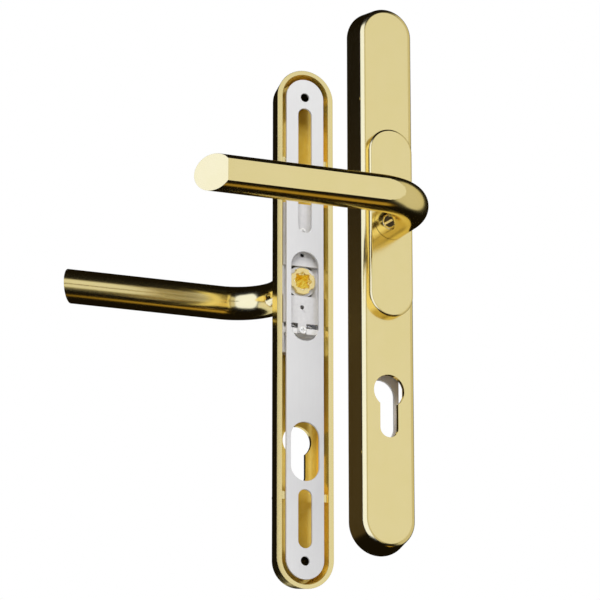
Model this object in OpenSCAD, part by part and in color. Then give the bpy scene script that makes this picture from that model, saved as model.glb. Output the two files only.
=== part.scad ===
// Pair of sprung lever door handles on long narrow backplates with euro-profile keyholes.
// Each handle is described lying on its back: x across the plate, y up the plate,
// z out of the door, with the spindle axis at x = y = 0 and the door face at z = 0.

/* [Pair] */
// Distance between the two back faces, along the spindle axis
handle_gap = 101; // [60:1:140]

/* [Backplate] */
// Spindle axis to the top end of the backplate
plate_top = 125.5; // [115:0.5:140]
// Spindle axis to the bottom end of the backplate
plate_bottom = 178.5; // [168:0.5:195]
// Width of the backplate at the door
plate_w = 34.5; // [33:0.1:40]
// Width of the backplate at its front, before the edge is rounded
plate_front_w = 29.3; // [28.8:0.1:33]
// Depth of the backplate, door face to front face
plate_depth = 15; // [14.5:0.1:20]
// Radius of the rounded front edge
plate_fillet = 2.7; // [1:0.1:4]
// Width of the rim along the sides
rim_side = 3.2; // [2:0.1:3.6]
// Width of the rim at the two ends
rim_end = 2.5; // [2:0.1:4]
// Thickness of the front wall
front_wall = 2.5; // [2.2:0.1:3]
// Height of the upper strip pads above the spindle axis
upper_pad_y = 70; // [55:0.5:100]
// Depth of the lower strip pads below the spindle axis
lower_pad_y = 126; // [118.5:0.5:150]
// Length of a strip pad along the plate
pad_len = 3; // [2:0.5:4]
// How far a strip pad reaches under the strip plate
pad_reach = 0.8; // [0.4:0.1:1.2]

/* [Fixing posts] */
// Diameter of a fixing post
post_d = 9; // [7.5:0.5:10]
// Diameter of the threaded hole in a fixing post
post_thread_d = 5; // [4:0.1:5.2]
// Diameter of the stem that is pressed into the front wall
post_stem_d = 6.6; // [5.8:0.1:7.2]
// Length of the stem
post_stem = 1.6; // [1.2:0.1:1.8]
// Floor left in the stem under the threaded hole
post_floor = 0.9; // [0.4:0.1:1.2]

/* [Keyhole] */
// Spindle axis to the centre of the keyhole's round part
keyhole_drop = 92; // [90:0.5:95]
// Diameter of the keyhole's round part
keyhole_d = 17.5; // [17.2:0.1:18.5]
// Width of the keyhole's slot
keyhole_slot_w = 10.4; // [10.2:0.1:11]
// Height of the keyhole
keyhole_h = 34; // [33:0.1:35]

/* [Rose] */
// Width of the rose
rose_w = 25; // [23:0.1:26]
// Length of the rose
rose_len = 104.6; // [80:0.2:120]
// Thickness of the rose
rose_t = 4.9; // [3:0.1:7]
// Radius of the rose's rounded edge
rose_fillet = 1.2; // [0.4:0.1:2]

/* [Lever] */
// Diameter of the lever's bar
bar_d = 19.6; // [19.2:0.1:21]
// Front face of the backplate to the axis of the bar
bar_standoff = 50; // [46:0.5:60]
// Radius of the bend, at the axis of the bar
bend_r = 27; // [20:0.5:29]
// Spindle axis to the longest point of the tip
lever_len = 126.3; // [100:0.1:140]
// Depth of the flat along the front of the bar
flat_depth = 1.9; // [0.8:0.1:3]
// Angle at which the tip is cut
tip_angle = 34; // [0:1:45]
// Turn of the lever each way from level, in degrees
lever_swing = 40; // [20:1:42]
// Gap between the neck and the rose
neck_gap = 0.3; // [0.2:0.05:0.6]

/* [Bearing] */
// Diameter of the lever's spigot
spigot_d = 16; // [15.6:0.1:16.6]
// Radial clearance of the spigot in its bush
running_clear = 0.05; // [0.02:0.01:0.09]
// Wall of the bush
bush_wall = 1.25; // [1:0.05:1.4]
// Thickness of the collar behind the front wall
bush_collar_t = 1; // [0.8:0.1:1.2]
// Width of the collar around the bush
bush_collar_w = 1.1; // [0.6:0.1:1.2]

/* [Grub screw] */
// Diameter of the grub screw
grub_d = 8; // [6:0.1:8.4]
// Length of the grub screw
grub_len = 5; // [4:0.5:5.5]
// Depth of the screw below the mouth of its hole
grub_sink = 2.2; // [0.8:0.1:3]
// Height of the hole above the rose
grub_height = 14.2; // [12:0.2:16]
// Turn of the hole below the bar's side of the neck, in degrees
grub_turn = 30; // [0:1:60]
// Lean of the hole towards the front, in degrees
grub_tilt = 38; // [0:1:45]
// Width of the driver slot
grub_slot_w = 1.1; // [0.6:0.1:1.5]
// Depth of the driver slot
grub_slot_t = 1.4; // [0.6:0.1:2]
// Width of the chamfer round the screw's face
grub_chamfer = 0.8; // [0.3:0.1:1.2]

/* [Hub] */
// Side of the square spindle that the hub takes
spindle_side = 8; // [7:0.1:8.1]
// Clearance of the spindle on each side
spindle_clear = 0.05; // [0.02:0.01:0.1]
// Diameter of the hub's barrel
barrel_d = 13.2; // [13:0.1:13.6]
// Length of the barrel inside the lever
barrel_in_lever = 14; // [10:0.5:15]
// Thickness of the hub's flange
flange_t = 1.5; // [1.2:0.1:1.8]
// Distance of the crank pin from the spindle axis
crank_r = 9; // [8.6:0.1:9.1]
// Diameter of the crank pin
crank_pin_d = 2.4; // [2:0.1:2.6]
// Outer diameter of the hub washer
washer_d = 18.4; // [17.6:0.1:19.4]
// Thickness of the hub washer
washer_t = 0.8; // [0.6:0.1:1]
// Outer diameter of the crown
crown_d = 15.4; // [14.8:0.1:16]
// Thickness of the crown
crown_t = 2.3; // [1.8:0.1:2.5]
// Width of a notch in the crown
notch_w = 3.2; // [2:0.1:4]
// Depth of a notch in the crown
notch_t = 0.9; // [0.5:0.1:1.2]

/* [Return cassette] */
// Spindle axis to the top end of the cassette
cassette_top = 46; // [42:0.5:50]
// Spindle axis to the bottom end of the cassette
cassette_bottom = 42.5; // [40:0.5:46]
// Radius of the round wall that the cassette has about the hub
drum_r = 12.8; // [12.2:0.1:13.2]
// Thickness of the cassette's side walls
cassette_wall = 0.9; // [0.8:0.05:1.1]
// Thickness of the cassette's end walls
cassette_end = 1.2; // [0.8:0.1:2]
// Spindle axis to the cross walls that the springs press on
cross_wall_y = 27.4; // [26.5:0.1:29]
// Thickness of a cross wall
cross_wall_t = 3.4; // [3:0.1:5]
// Thickness of the cassette's floor
cassette_floor = 1; // [0.8:0.1:1.1]
// Thickness of the cassette's covers
cover_t = 1.2; // [0.8:0.1:1.5]
// Gap between the crown and a cover
cover_gap = 1.1; // [0.5:0.1:2]
// Depth of the lower cover's edge below the spindle axis
lower_cover_end = 25; // [20:0.5:26]
// Distance of a cover's sight hole from the spindle axis
sight_y = 15.4; // [13:0.2:18]
// Diameter of a cover's sight hole
sight_d = 2.4; // [1.5:0.1:3]
// Thickness of the slider
slider_t = 2.2; // [1.9:0.1:2.3]
// Length of the slider's bars, above and below its opening
slider_bar = 2.5; // [1.5:0.1:3]
// Depth of the slider's groove for the crank pin
groove_t = 1.5; // [1.2:0.1:1.6]
// Half width of the tongue that holds down the lower cover
tongue_half = 2.6; // [2.3:0.1:4]
// Diameter of a cover screw
screw_d = 2.5; // [2:0.1:3]
// Diameter of a cover screw's head
screw_head_d = 4.6; // [3.6:0.1:4.8]
// Thickness of a cover screw's head
screw_head_t = 1.2; // [0.8:0.1:1.4]
// How far a cover screw reaches into the front wall
screw_bite = 1.5; // [1:0.1:1.7]
// Gap between sliding or turning faces
slide_clear = 0.3; // [0.2:0.05:0.35]
// Gap between pieces that are fixed together
seat_clear = 0.1; // [0.02:0.01:0.12]

/* [Return springs] */
// Outer diameter of a spring
spring_d = 5; // [4.4:0.1:5]
// Diameter of the spring wire
wire_d = 0.8; // [0.6:0.05:0.9]
// Turns of a spring
spring_turns = 4; // [3:1:5]
// Distance of a spring from the middle of the plate
spring_x = 5.2; // [5.2:0.1:7]

/* [Strip plate] */
// Width of the strip plate
strip_w = 22.8; // [22:0.1:24]
// Thickness of the strip plate
strip_t = 1.5; // [1:0.1:1.6]
// Depth of the strip plate below the rim
strip_sink = 0.3; // [0:0.05:0.4]
// Gap between the ends of the strip plate and of the backplate
strip_end_gap = 5.4; // [4.5:0.1:8]
// Spindle axis to the upper bolt hole
upper_bolt_y = 109.3; // [106:0.1:109.5]
// Spindle axis to the lower bolt hole
lower_bolt_y = 162.7; // [160:0.1:162.8]
// Diameter of a bolt hole
bolt_hole_d = 5.3; // [5.2:0.1:6]
// Width of the two long slots
slot_w = 8.4; // [6:0.1:10]
// Top of the upper slot
upper_slot_top = 102.7; // [80:0.1:102.8]
// Bottom of the upper slot
upper_slot_bottom = 27.7; // [24:0.1:50]
// Top of the window, above the spindle axis
window_top = 16.5; // [14:0.1:20]
// Bottom of the window, below the spindle axis
window_bottom = 36.1; // [30:0.1:40]
// Width of the window
window_w = 16.9; // [16:0.1:18]
// Width of the opening for the cylinder
strip_keyhole_w = 17.2; // [17.1:0.1:18]
// Top of the lower slot, below the spindle axis
lower_slot_top = 122; // [121:0.1:135]
// Bottom of the lower slot, below the spindle axis
lower_slot_bottom = 155.5; // [145:0.1:156]

/* [Hidden] */
$fn = 72;

brass = [0.85, 0.72, 0.38];
pale_brass = [0.88, 0.76, 0.42];
zinc = [0.68, 0.67, 0.65];
steel = [0.82, 0.82, 0.83];
spring_steel = [0.55, 0.56, 0.58];
nylon = [0.20, 0.18, 0.15];
cut = 1;
far = 400;

// Depths along the spindle, from the door face outwards
slope = (plate_w - plate_front_w) / 2 / plate_depth;
lean = atan(slope);
wall_z = plate_depth - front_wall;
strip_front_z = strip_sink + strip_t;
collar_z = wall_z - bush_collar_t;
floor_z = wall_z - cassette_floor;
flange_front_z = min(collar_z, floor_z) - slide_clear;
flange_back_z = flange_front_z - flange_t;
slider_front_z = flange_back_z - slide_clear;
slider_back_z = slider_front_z - slider_t;
washer_front_z = slider_back_z - slide_clear;
washer_back_z = washer_front_z - washer_t;
cover_front_z = washer_back_z - slide_clear;
cover_back_z = cover_front_z - cover_t;
crown_back_z = washer_back_z - crown_t;
rose_front_z = plate_depth + rose_t;
neck_z = rose_front_z + neck_gap;
bar_z = plate_depth + bar_standoff;
bend_z = bar_z - bend_r;

// Widths of the cavity and of what lies in it
cavity_half = plate_w / 2 - rim_side;
cassette_w_half = cavity_half - slope * wall_z - seat_clear;
cassette_in_half = cassette_w_half - cassette_wall;
slider_half = cassette_in_half - slide_clear;
flange_r = cassette_in_half - slide_clear - seat_clear;

// Radii about the spindle axis
spigot_r = spigot_d / 2;
bush_r = spigot_r + running_clear + bush_wall;
bush_hole_r = bush_r + seat_clear / 2;
collar_r = bush_r + bush_collar_w;
barrel_r = barrel_d / 2;
socket_side = spindle_side + 2 * spindle_clear;

drum_clear_r = drum_r + slide_clear;

// The slider's stroke follows the crank pin, taken as even over the swing
stroke_share = 0.945;
stroke = stroke_share * crank_r * lever_swing * PI / 180;
slider_hole_half = barrel_r + slide_clear;
slider_end = slider_hole_half + stroke + slider_bar;
spring_z = (cover_front_z + floor_z) / 2;
screw_y = cross_wall_y + cross_wall_t / 2;
screw_hole_r = screw_d / 2 + seat_clear / 2;
cover_edge = crown_d / 2 + cover_gap;

module outside() {
    translate([0, -handle_gap / 2, 0])
        rotate([90, 0, 0])
            children();
}

module inside() {
    mirror([0, 1, 0])
        outside()
            children();
}

// A plate of thickness t with two round ends, from y = low to y = high
module obround(w, low, high, t) {
    r = w / 2;
    translate([-r, low + r, 0])
        cube([w, high - low - w, t]);
    for (y = [low + r, high - r])
        translate([0, y, 0])
            cylinder(r = r, h = t);
}

// Half the cross-section of the backplate, with its leaning side and rounded edge
module plate_half_section() {
    half = plate_w / 2;
    centre_z = plate_depth - plate_fillet;
    centre_x = half - slope * centre_z - plate_fillet / cos(lean);
    polygon([
        [0, 0],
        [half, 0],
        [centre_x + plate_fillet * cos(lean), centre_z + plate_fillet * sin(lean)],
        [centre_x, centre_z],
        [centre_x, plate_depth],
        [0, plate_depth]]);
    translate([centre_x, centre_z])
        circle(r = plate_fillet);
}

// Half the cross-section of the cavity, drawn a little past the door face
module cavity_half_section() {
    polygon([
        [0, -cut],
        [cavity_half + slope * cut, -cut],
        [cavity_half - slope * wall_z, wall_z],
        [0, wall_z]]);
}

// Half the cross-section of the rose
module rose_half_section() {
    half = rose_w / 2;
    square([half, rose_t - rose_fillet]);
    square([half - rose_fillet, rose_t]);
    translate([half - rose_fillet, rose_t - rose_fillet])
        circle(r = rose_fillet);
}

// A half section swept along a straight middle and round both ends
module swept(low_centre, high_centre) {
    translate([0, high_centre, 0])
        rotate([90, 0, 0])
            linear_extrude(high_centre - low_centre)
                for (side = [0, 1])
                    mirror([side, 0])
                        children();
    translate([0, high_centre, 0])
        rotate_extrude(angle = 180)
            children();
    translate([0, low_centre, 0])
        rotate([0, 0, 180])
            rotate_extrude(angle = 180)
                children();
}

module keyhole(t) {
    slot_r = keyhole_slot_w / 2;
    bottom = -keyhole_drop + keyhole_d / 2 - keyhole_h;
    translate([0, -keyhole_drop, 0])
        cylinder(d = keyhole_d, h = t);
    translate([-slot_r, bottom + slot_r, 0])
        cube([keyhole_slot_w, -keyhole_drop - bottom - slot_r, t]);
    translate([0, bottom + slot_r, 0])
        cylinder(r = slot_r, h = t);
}

module strip_pads() {
    inner = strip_w / 2 - pad_reach;
    for (y = [upper_pad_y, -lower_pad_y])
        for (side = [0, 1])
            mirror([side, 0, 0])
                translate([inner, y - pad_len / 2, strip_front_z])
                    cube([cavity_half - inner, pad_len, wall_z - strip_front_z]);
}

module backplate() {
    color(brass) {
        difference() {
            swept(-plate_bottom + plate_w / 2, plate_top - plate_w / 2)
                plate_half_section();
            swept(-plate_bottom + rim_end + cavity_half, plate_top - rim_end - cavity_half)
                cavity_half_section();
            translate([0, 0, wall_z - cut])
                keyhole(front_wall + 2 * cut);
            translate([0, 0, strip_front_z])
                cylinder(r = drum_clear_r, h = wall_z - strip_front_z);
            translate([0, 0, wall_z - cut])
                cylinder(r = bush_hole_r, h = front_wall + 2 * cut);
            for (y = [screw_y, -screw_y])
                translate([0, y, wall_z - cut])
                    cylinder(r = screw_hole_r, h = screw_bite + seat_clear + cut);
            for (y = [upper_bolt_y, -lower_bolt_y])
                translate([0, y, wall_z - cut])
                    cylinder(d = post_stem_d + seat_clear, h = post_stem + seat_clear + cut);
        }
        strip_pads();
    }
}

module fixing_posts() {
    post_h = wall_z - strip_front_z;
    color(brass)
        for (y = [upper_bolt_y, -lower_bolt_y])
            translate([0, y, strip_front_z])
                difference() {
                    union() {
                        cylinder(d = post_d, h = post_h);
                        cylinder(d = post_stem_d, h = post_h + post_stem);
                    }
                    translate([0, 0, -cut])
                        cylinder(d = post_thread_d, h = post_h + post_stem - post_floor + cut);
                }
}

module rose() {
    color(brass)
        translate([0, 0, plate_depth])
            difference() {
                swept(-rose_len / 2 + rose_w / 2, rose_len / 2 - rose_w / 2)
                    rose_half_section();
                translate([0, 0, -cut])
                    cylinder(r = bush_hole_r, h = rose_t + 2 * cut);
            }
}

module bush() {
    color(nylon)
        difference() {
            union() {
                translate([0, 0, wall_z])
                    cylinder(r = bush_r, h = rose_front_z - wall_z);
                translate([0, 0, collar_z])
                    cylinder(r = collar_r, h = bush_collar_t);
            }
            translate([0, 0, collar_z - cut])
                cylinder(r = spigot_r + running_clear, h = far);
        }
}

// Places its children at the mouth of the grub screw's hole, with z along the hole
module at_grub_hole() {
    r = bar_d / 2;
    translate([-r * cos(grub_turn), -r * sin(grub_turn), rose_front_z + grub_height])
        rotate([0, 0, 180 + grub_turn])
            rotate([0, 90 - grub_tilt, 0])
                children();
}

module lever() {
    bar_r = bar_d / 2;
    color(brass)
        difference() {
            union() {
                translate([0, 0, neck_z])
                    cylinder(r = bar_r, h = bend_z - neck_z);
                translate([0, 0, flange_front_z])
                    cylinder(r = spigot_r, h = neck_z - flange_front_z);
                translate([-bend_r, 0, bend_z])
                    rotate([90, 0, 0])
                        rotate_extrude(angle = 90)
                            translate([bend_r, 0])
                                circle(r = bar_r);
                translate([-bend_r, 0, bar_z])
                    rotate([0, -90, 0])
                        cylinder(r = bar_r, h = lever_len - bend_r);
            }
            translate([-far / 2, -far / 2, bar_z + bar_r - flat_depth])
                cube([far, far, far]);
            translate([-lever_len, 0, bar_z - bar_r])
                rotate([0, tip_angle, 0])
                    translate([-far, -far / 2, -far / 2])
                        cube([far, far, far]);
            translate([0, 0, flange_front_z - cut])
                cylinder(r = barrel_r + seat_clear / 2, h = barrel_in_lever + seat_clear + cut);
            at_grub_hole()
                translate([0, 0, -grub_sink - grub_len - seat_clear])
                    cylinder(d = grub_d + seat_clear, h = grub_sink + grub_len + bar_d);
        }
}

module grub_screw() {
    color(pale_brass)
        at_grub_hole()
            translate([0, 0, -grub_sink - grub_len])
                difference() {
                    union() {
                        cylinder(d = grub_d, h = grub_len - grub_chamfer);
                        translate([0, 0, grub_len - grub_chamfer])
                            cylinder(d1 = grub_d, d2 = grub_d - 2 * grub_chamfer, h = grub_chamfer);
                    }
                    translate([-grub_d / 2 - cut, -grub_slot_w / 2, grub_len - grub_slot_t])
                        cube([grub_d + 2 * cut, grub_slot_w, grub_slot_t + cut]);
                }
}

module hub() {
    end_z = flange_front_z + barrel_in_lever;
    color(pale_brass)
        difference() {
            union() {
                translate([0, 0, washer_back_z])
                    cylinder(r = barrel_r, h = end_z - washer_back_z);
                translate([0, 0, flange_back_z])
                    cylinder(r = flange_r, h = flange_t);
                translate([crank_r, 0, slider_front_z - groove_t + slide_clear])
                    cylinder(d = crank_pin_d, h = groove_t + flange_t);
            }
            translate([-socket_side / 2, -socket_side / 2, washer_back_z - cut])
                cube([socket_side, socket_side, end_z - washer_back_z]);
        }
}

module hub_washer() {
    color(steel)
        translate([0, 0, washer_back_z])
            difference() {
                cylinder(d = washer_d, h = washer_t);
                translate([0, 0, -cut])
                    cylinder(r = barrel_r + seat_clear / 2, h = washer_t + 2 * cut);
            }
}

module hub_crown() {
    color(pale_brass)
        translate([0, 0, crown_back_z])
            difference() {
                cylinder(d = crown_d, h = crown_t);
                for (turn = [0, 45])
                    rotate([0, 0, turn])
                        translate([-socket_side / 2, -socket_side / 2, -cut])
                            cube([socket_side, socket_side, crown_t + 2 * cut]);
                for (turn = [45 : 90 : 315])
                    rotate([0, 0, turn])
                        translate([crown_d / 2 - notch_t, -notch_w / 2, -cut])
                            cube([crown_d, notch_w, crown_t + 2 * cut]);
            }
}

module cassette() {
    tray_h = wall_z - cover_front_z;
    color(zinc)
        difference() {
            union() {
                translate([-cassette_w_half, -cassette_bottom, cover_front_z])
                    cube([2 * cassette_w_half, cassette_bottom + cassette_top, tray_h]);
                translate([0, 0, cover_front_z])
                    cylinder(r = drum_r, h = tray_h);
            }
            translate([-cassette_in_half, -cross_wall_y, cover_front_z - cut])
                cube([2 * cassette_in_half, 2 * cross_wall_y, floor_z - cover_front_z + cut]);
            translate([-cassette_in_half, cross_wall_y + cross_wall_t, cover_front_z - cut])
                cube([
                    2 * cassette_in_half,
                    cassette_top - cassette_end - cross_wall_y - cross_wall_t,
                    floor_z - cover_front_z + cut]);
            translate([-cassette_in_half, -cassette_bottom + cassette_end, cover_front_z - cut])
                cube([
                    2 * cassette_in_half,
                    cassette_bottom - cassette_end - cross_wall_y - cross_wall_t,
                    floor_z - cover_front_z + cut]);
            translate([0, 0, floor_z - cut])
                cylinder(r = collar_r + slide_clear, h = cassette_floor + 2 * cut);
            for (y = [screw_y, -screw_y])
                translate([0, y, cover_front_z - cut])
                    cylinder(r = screw_hole_r, h = tray_h + 2 * cut);
        }
}

module slider() {
    hole_half = slider_hole_half + stroke;
    color(zinc)
        translate([0, 0, slider_back_z])
            difference() {
                translate([-slider_half, -slider_end, 0])
                    cube([2 * slider_half, 2 * slider_end, slider_t]);
                translate([0, 0, -cut])
                    obround(2 * slider_hole_half, -hole_half, hole_half, slider_t + 2 * cut);
                translate([0, -crank_pin_d / 2 - slide_clear, slider_t - groove_t])
                    cube([far, crank_pin_d + 2 * slide_clear, groove_t + cut]);
            }
}

// A coil spring wound along y, from y = 0 to y = length, as one unbroken tube
rings_per_turn = 8;
tube_sides = 6;
coil_r = (spring_d - wire_d) / 2;
spring_len = cross_wall_y - slider_end - 2 * slide_clear;
coil_len = spring_len - wire_d;
coil_steps = spring_turns * rings_per_turn;
coil_pitch = coil_len / spring_turns;
coil_lead = atan(coil_pitch / (2 * PI * coil_r));

function coil_turn(i) = 360 * i / rings_per_turn;
function coil_centre(i) = [
    coil_r * cos(coil_turn(i)),
    wire_d / 2 + coil_len * i / coil_steps,
    coil_r * sin(coil_turn(i))];
function coil_across(i) = [cos(coil_turn(i)), 0, sin(coil_turn(i))];
function coil_over(i) = [
    sin(coil_lead) * sin(coil_turn(i)),
    cos(coil_lead),
    -sin(coil_lead) * cos(coil_turn(i))];
function coil_point(i, j) =
    coil_centre(i)
    + wire_d / 2 * cos(360 * j / tube_sides) * coil_across(i)
    + wire_d / 2 * sin(360 * j / tube_sides) * coil_over(i);

coil_points = [
    for (i = [0 : coil_steps])
        for (j = [0 : tube_sides - 1])
            coil_point(i, j)];
coil_skin = [
    for (i = [0 : coil_steps - 1])
        for (j = [0 : tube_sides - 1])
            let (a = i * tube_sides + j, b = i * tube_sides + (j + 1) % tube_sides)
                each [[a, a + tube_sides, b], [b, a + tube_sides, b + tube_sides]]];
coil_start_cap = [for (j = [1 : tube_sides - 2]) [0, j, j + 1]];
coil_last = coil_steps * tube_sides;
coil_end_cap = [for (j = [1 : tube_sides - 2]) [coil_last, coil_last + j + 1, coil_last + j]];

// Least gap between neighbouring turns, with the spring at rest and pressed
function least_gap(squeeze) = min([
    for (i = [0 : coil_steps - rings_per_turn])
        for (k = [rings_per_turn - 2 : min(rings_per_turn + 2, coil_steps - i)])
            norm([
                coil_centre(i + k).x - coil_centre(i).x,
                squeeze * (coil_centre(i + k).y - coil_centre(i).y),
                coil_centre(i + k).z - coil_centre(i).z]) - wire_d]);
echo(spring_gap_at_rest = least_gap(1), spring_gap_pressed = least_gap(1 - stroke / coil_len));

module coil() {
    polyhedron(coil_points, concat(coil_start_cap, coil_skin, coil_end_cap));
}

module upper_springs() {
    color(spring_steel)
        for (x = [-spring_x, spring_x])
            translate([x, slider_end + slide_clear, spring_z])
                coil();
}

module lower_springs() {
    color(spring_steel)
        for (x = [-spring_x, spring_x])
            translate([x, -cross_wall_y + slide_clear, spring_z])
                coil();
}

module cover_holes(y_sign) {
    translate([0, y_sign * sight_y, cover_back_z - cut])
        cylinder(d = sight_d, h = cover_t + 2 * cut);
    translate([0, y_sign * screw_y, cover_back_z - cut])
        cylinder(r = screw_hole_r, h = cover_t + 2 * cut);
}

module upper_cover() {
    color(zinc)
        difference() {
            translate([-cassette_w_half, cover_edge, cover_back_z])
                cube([2 * cassette_w_half, cassette_top - cover_edge, cover_t]);
            cover_holes(1);
        }
}

module lower_cover() {
    color(zinc)
        difference() {
            union() {
                translate([-cassette_w_half, -lower_cover_end, cover_back_z])
                    cube([2 * cassette_w_half, lower_cover_end - cover_edge, cover_t]);
                translate([-tongue_half, -cross_wall_y - cross_wall_t, cover_back_z])
                    cube([2 * tongue_half, cross_wall_y + cross_wall_t - cover_edge, cover_t]);
            }
            cover_holes(-1);
        }
}

module cover_screws() {
    color(steel)
        for (y = [screw_y, -screw_y])
            translate([0, y, cover_back_z]) {
                cylinder(d = screw_d, h = wall_z + screw_bite - cover_back_z);
                translate([0, 0, -screw_head_t])
                    difference() {
                        cylinder(d = screw_head_d, h = screw_head_t);
                        translate([-screw_head_d, -screw_d / 8, -cut])
                            cube([2 * screw_head_d, screw_d / 4, screw_head_t / 2 + cut]);
                    }
            }
}

module strip_plate() {
    hole_t = strip_t + 2 * cut;
    keyhole_top = -keyhole_drop + keyhole_d / 2;
    color(steel)
        translate([0, 0, strip_sink])
            difference() {
                obround(strip_w, -plate_bottom + strip_end_gap, plate_top - strip_end_gap, strip_t);
                translate([0, 0, -cut]) {
                    for (y = [upper_bolt_y, -lower_bolt_y])
                        translate([0, y, 0])
                            cylinder(d = bolt_hole_d, h = hole_t);
                    obround(slot_w, upper_slot_bottom, upper_slot_top, hole_t);
                    obround(window_w, -window_bottom, window_top, hole_t);
                    obround(strip_keyhole_w, keyhole_top - keyhole_h, keyhole_top, hole_t);
                    obround(slot_w, -lower_slot_bottom, -lower_slot_top, hole_t);
                }
            }
}

outside() backplate();  // outside_backplate
outside() fixing_posts();  // outside_fixing_posts
outside() rose();  // outside_rose
outside() bush();  // outside_bush
outside() lever();  // outside_lever
outside() grub_screw();  // outside_grub_screw
outside() hub();  // outside_hub
outside() hub_washer();  // outside_hub_washer
outside() hub_crown();  // outside_hub_crown
outside() cassette();  // outside_cassette
outside() slider();  // outside_slider
outside() upper_springs();  // outside_upper_springs
outside() lower_springs();  // outside_lower_springs
outside() upper_cover();  // outside_upper_cover
outside() lower_cover();  // outside_lower_cover
outside() cover_screws();  // outside_cover_screws
outside() strip_plate();  // outside_strip_plate
inside() backplate();  // inside_backplate
inside() fixing_posts();  // inside_fixing_posts
inside() rose();  // inside_rose
inside() bush();  // inside_bush
inside() lever();  // inside_lever
inside() grub_screw();  // inside_grub_screw
inside() hub();  // inside_hub
inside() hub_washer();  // inside_hub_washer
inside() hub_crown();  // inside_hub_crown
inside() cassette();  // inside_cassette
inside() slider();  // inside_slider
inside() upper_springs();  // inside_upper_springs
inside() lower_springs();  // inside_lower_springs
inside() upper_cover();  // inside_upper_cover
inside() lower_cover();  // inside_lower_cover
inside() cover_screws();  // inside_cover_screws
inside() strip_plate();  // inside_strip_plate
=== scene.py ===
import math

import bmesh
import bpy
from mathutils import Matrix, Vector


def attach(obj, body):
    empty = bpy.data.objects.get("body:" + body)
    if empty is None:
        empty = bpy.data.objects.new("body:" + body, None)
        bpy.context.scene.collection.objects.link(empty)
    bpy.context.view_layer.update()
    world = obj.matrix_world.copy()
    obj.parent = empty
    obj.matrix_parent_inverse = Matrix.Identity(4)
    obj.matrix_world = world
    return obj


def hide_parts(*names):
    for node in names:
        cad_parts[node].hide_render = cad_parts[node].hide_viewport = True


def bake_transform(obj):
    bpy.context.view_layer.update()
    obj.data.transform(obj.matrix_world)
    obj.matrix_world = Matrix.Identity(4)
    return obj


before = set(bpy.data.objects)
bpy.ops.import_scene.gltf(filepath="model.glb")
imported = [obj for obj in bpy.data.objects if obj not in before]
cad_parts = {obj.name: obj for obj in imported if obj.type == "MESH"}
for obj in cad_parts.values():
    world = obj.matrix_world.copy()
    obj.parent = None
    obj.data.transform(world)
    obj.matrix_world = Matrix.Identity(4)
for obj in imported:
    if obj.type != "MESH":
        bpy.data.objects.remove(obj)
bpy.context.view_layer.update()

# Camera
# The pair is seen from its outside, from the left and from a little below, through a long lens,
# so that the near handle shows its front and the far one its open back.
view_turn = math.radians(-22.376)
view_rise = math.radians(-15.567)
view_reach = 1.777
aim = Vector((-0.0206, 0.0085, -0.0253))
lens_mm = 192.8
sensor_mm = 36
far_clip = 50

back = Vector((
    math.sin(view_turn) * math.cos(view_rise),
    -math.cos(view_turn) * math.cos(view_rise),
    math.sin(view_rise)))
right = Vector((math.cos(view_turn), math.sin(view_turn), 0))
turned_to = Matrix((right, back.cross(right), back)).transposed().to_4x4()
bpy.ops.object.camera_add()
camera = bpy.context.object
camera.data.lens = lens_mm
camera.data.sensor_width = sensor_mm
camera.data.clip_end = far_clip
camera.matrix_world = Matrix.Translation(aim + back * view_reach) @ turned_to
bpy.context.scene.camera = camera
bpy.context.scene.view_settings.view_transform = "Standard"


# Studio
# A pale matt floor far below, a white surround, and a tent of black felt with windows of white cloth,
# which shows only in the polished metal. One soft lamp gives the satin pieces their shade.
def linear(hex_colour):
    """An sRGB hex colour as the linear values that shaders take."""
    parts = [int(hex_colour[i:i + 2], 16) / 255 for i in (1, 3, 5)]
    return tuple(p / 12.92 if p <= 0.04045 else ((p + 0.055) / 1.055) ** 2.4 for p in parts) + (1,)


def add(tree, kind, settings=None, **inputs):
    """Adds a shader node, sets its properties and its inputs, and links the inputs that are sockets."""
    node = tree.nodes.new("ShaderNode" + kind)
    for name, value in (settings or {}).items():
        setattr(node, name, value)
    for name, value in inputs.items():
        key = int(name[1:]) if name[1:].isdigit() else name.replace("_", " ")
        if isinstance(value, bpy.types.NodeSocket):
            tree.links.new(value, node.inputs[key])
        else:
            node.inputs[key].default_value = value
    return node


def new_material(name):
    """An empty node material, with its tree."""
    material = bpy.data.materials.new(name)
    material.use_nodes = True
    material.node_tree.nodes.clear()
    return material, material.node_tree


soft_level = 0.7
world = bpy.data.worlds.new("studio")
bpy.context.scene.world = world
world.use_nodes = True
tree = world.node_tree
tree.nodes.clear()
path = add(tree, "LightPath")
seen = add(
    tree, "Math", {"operation": "MAXIMUM"},
    i0=path.outputs["Is Camera Ray"], i1=path.outputs["Is Glossy Ray"])
seen = add(
    tree, "Math", {"operation": "MAXIMUM"},
    i0=seen.outputs[0], i1=path.outputs["Is Transmission Ray"])
soft = add(tree, "Background", Color=(1, 1, 1, 1), Strength=soft_level)
white = add(tree, "Background", Color=(1, 1, 1, 1), Strength=1.0)
mixed = add(tree, "MixShader", i0=seen.outputs[0], i1=soft.outputs[0], i2=white.outputs[0])
add(tree, "OutputWorld", Surface=mixed.outputs[0])

floor_z = -0.75
floor_size = 12
bpy.ops.mesh.primitive_plane_add(size=floor_size, location=(0, 0, floor_z))
floor = bpy.context.object
floor.name = "floor"
material, tree = new_material("pale matt floor")
shader = add(tree, "BsdfPrincipled", Base_Color=linear("#F4F4F2"), Roughness=0.9)
add(tree, "OutputMaterial", Surface=shader.outputs[0])
floor.data.materials.append(material)
floor.visible_glossy = False

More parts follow.
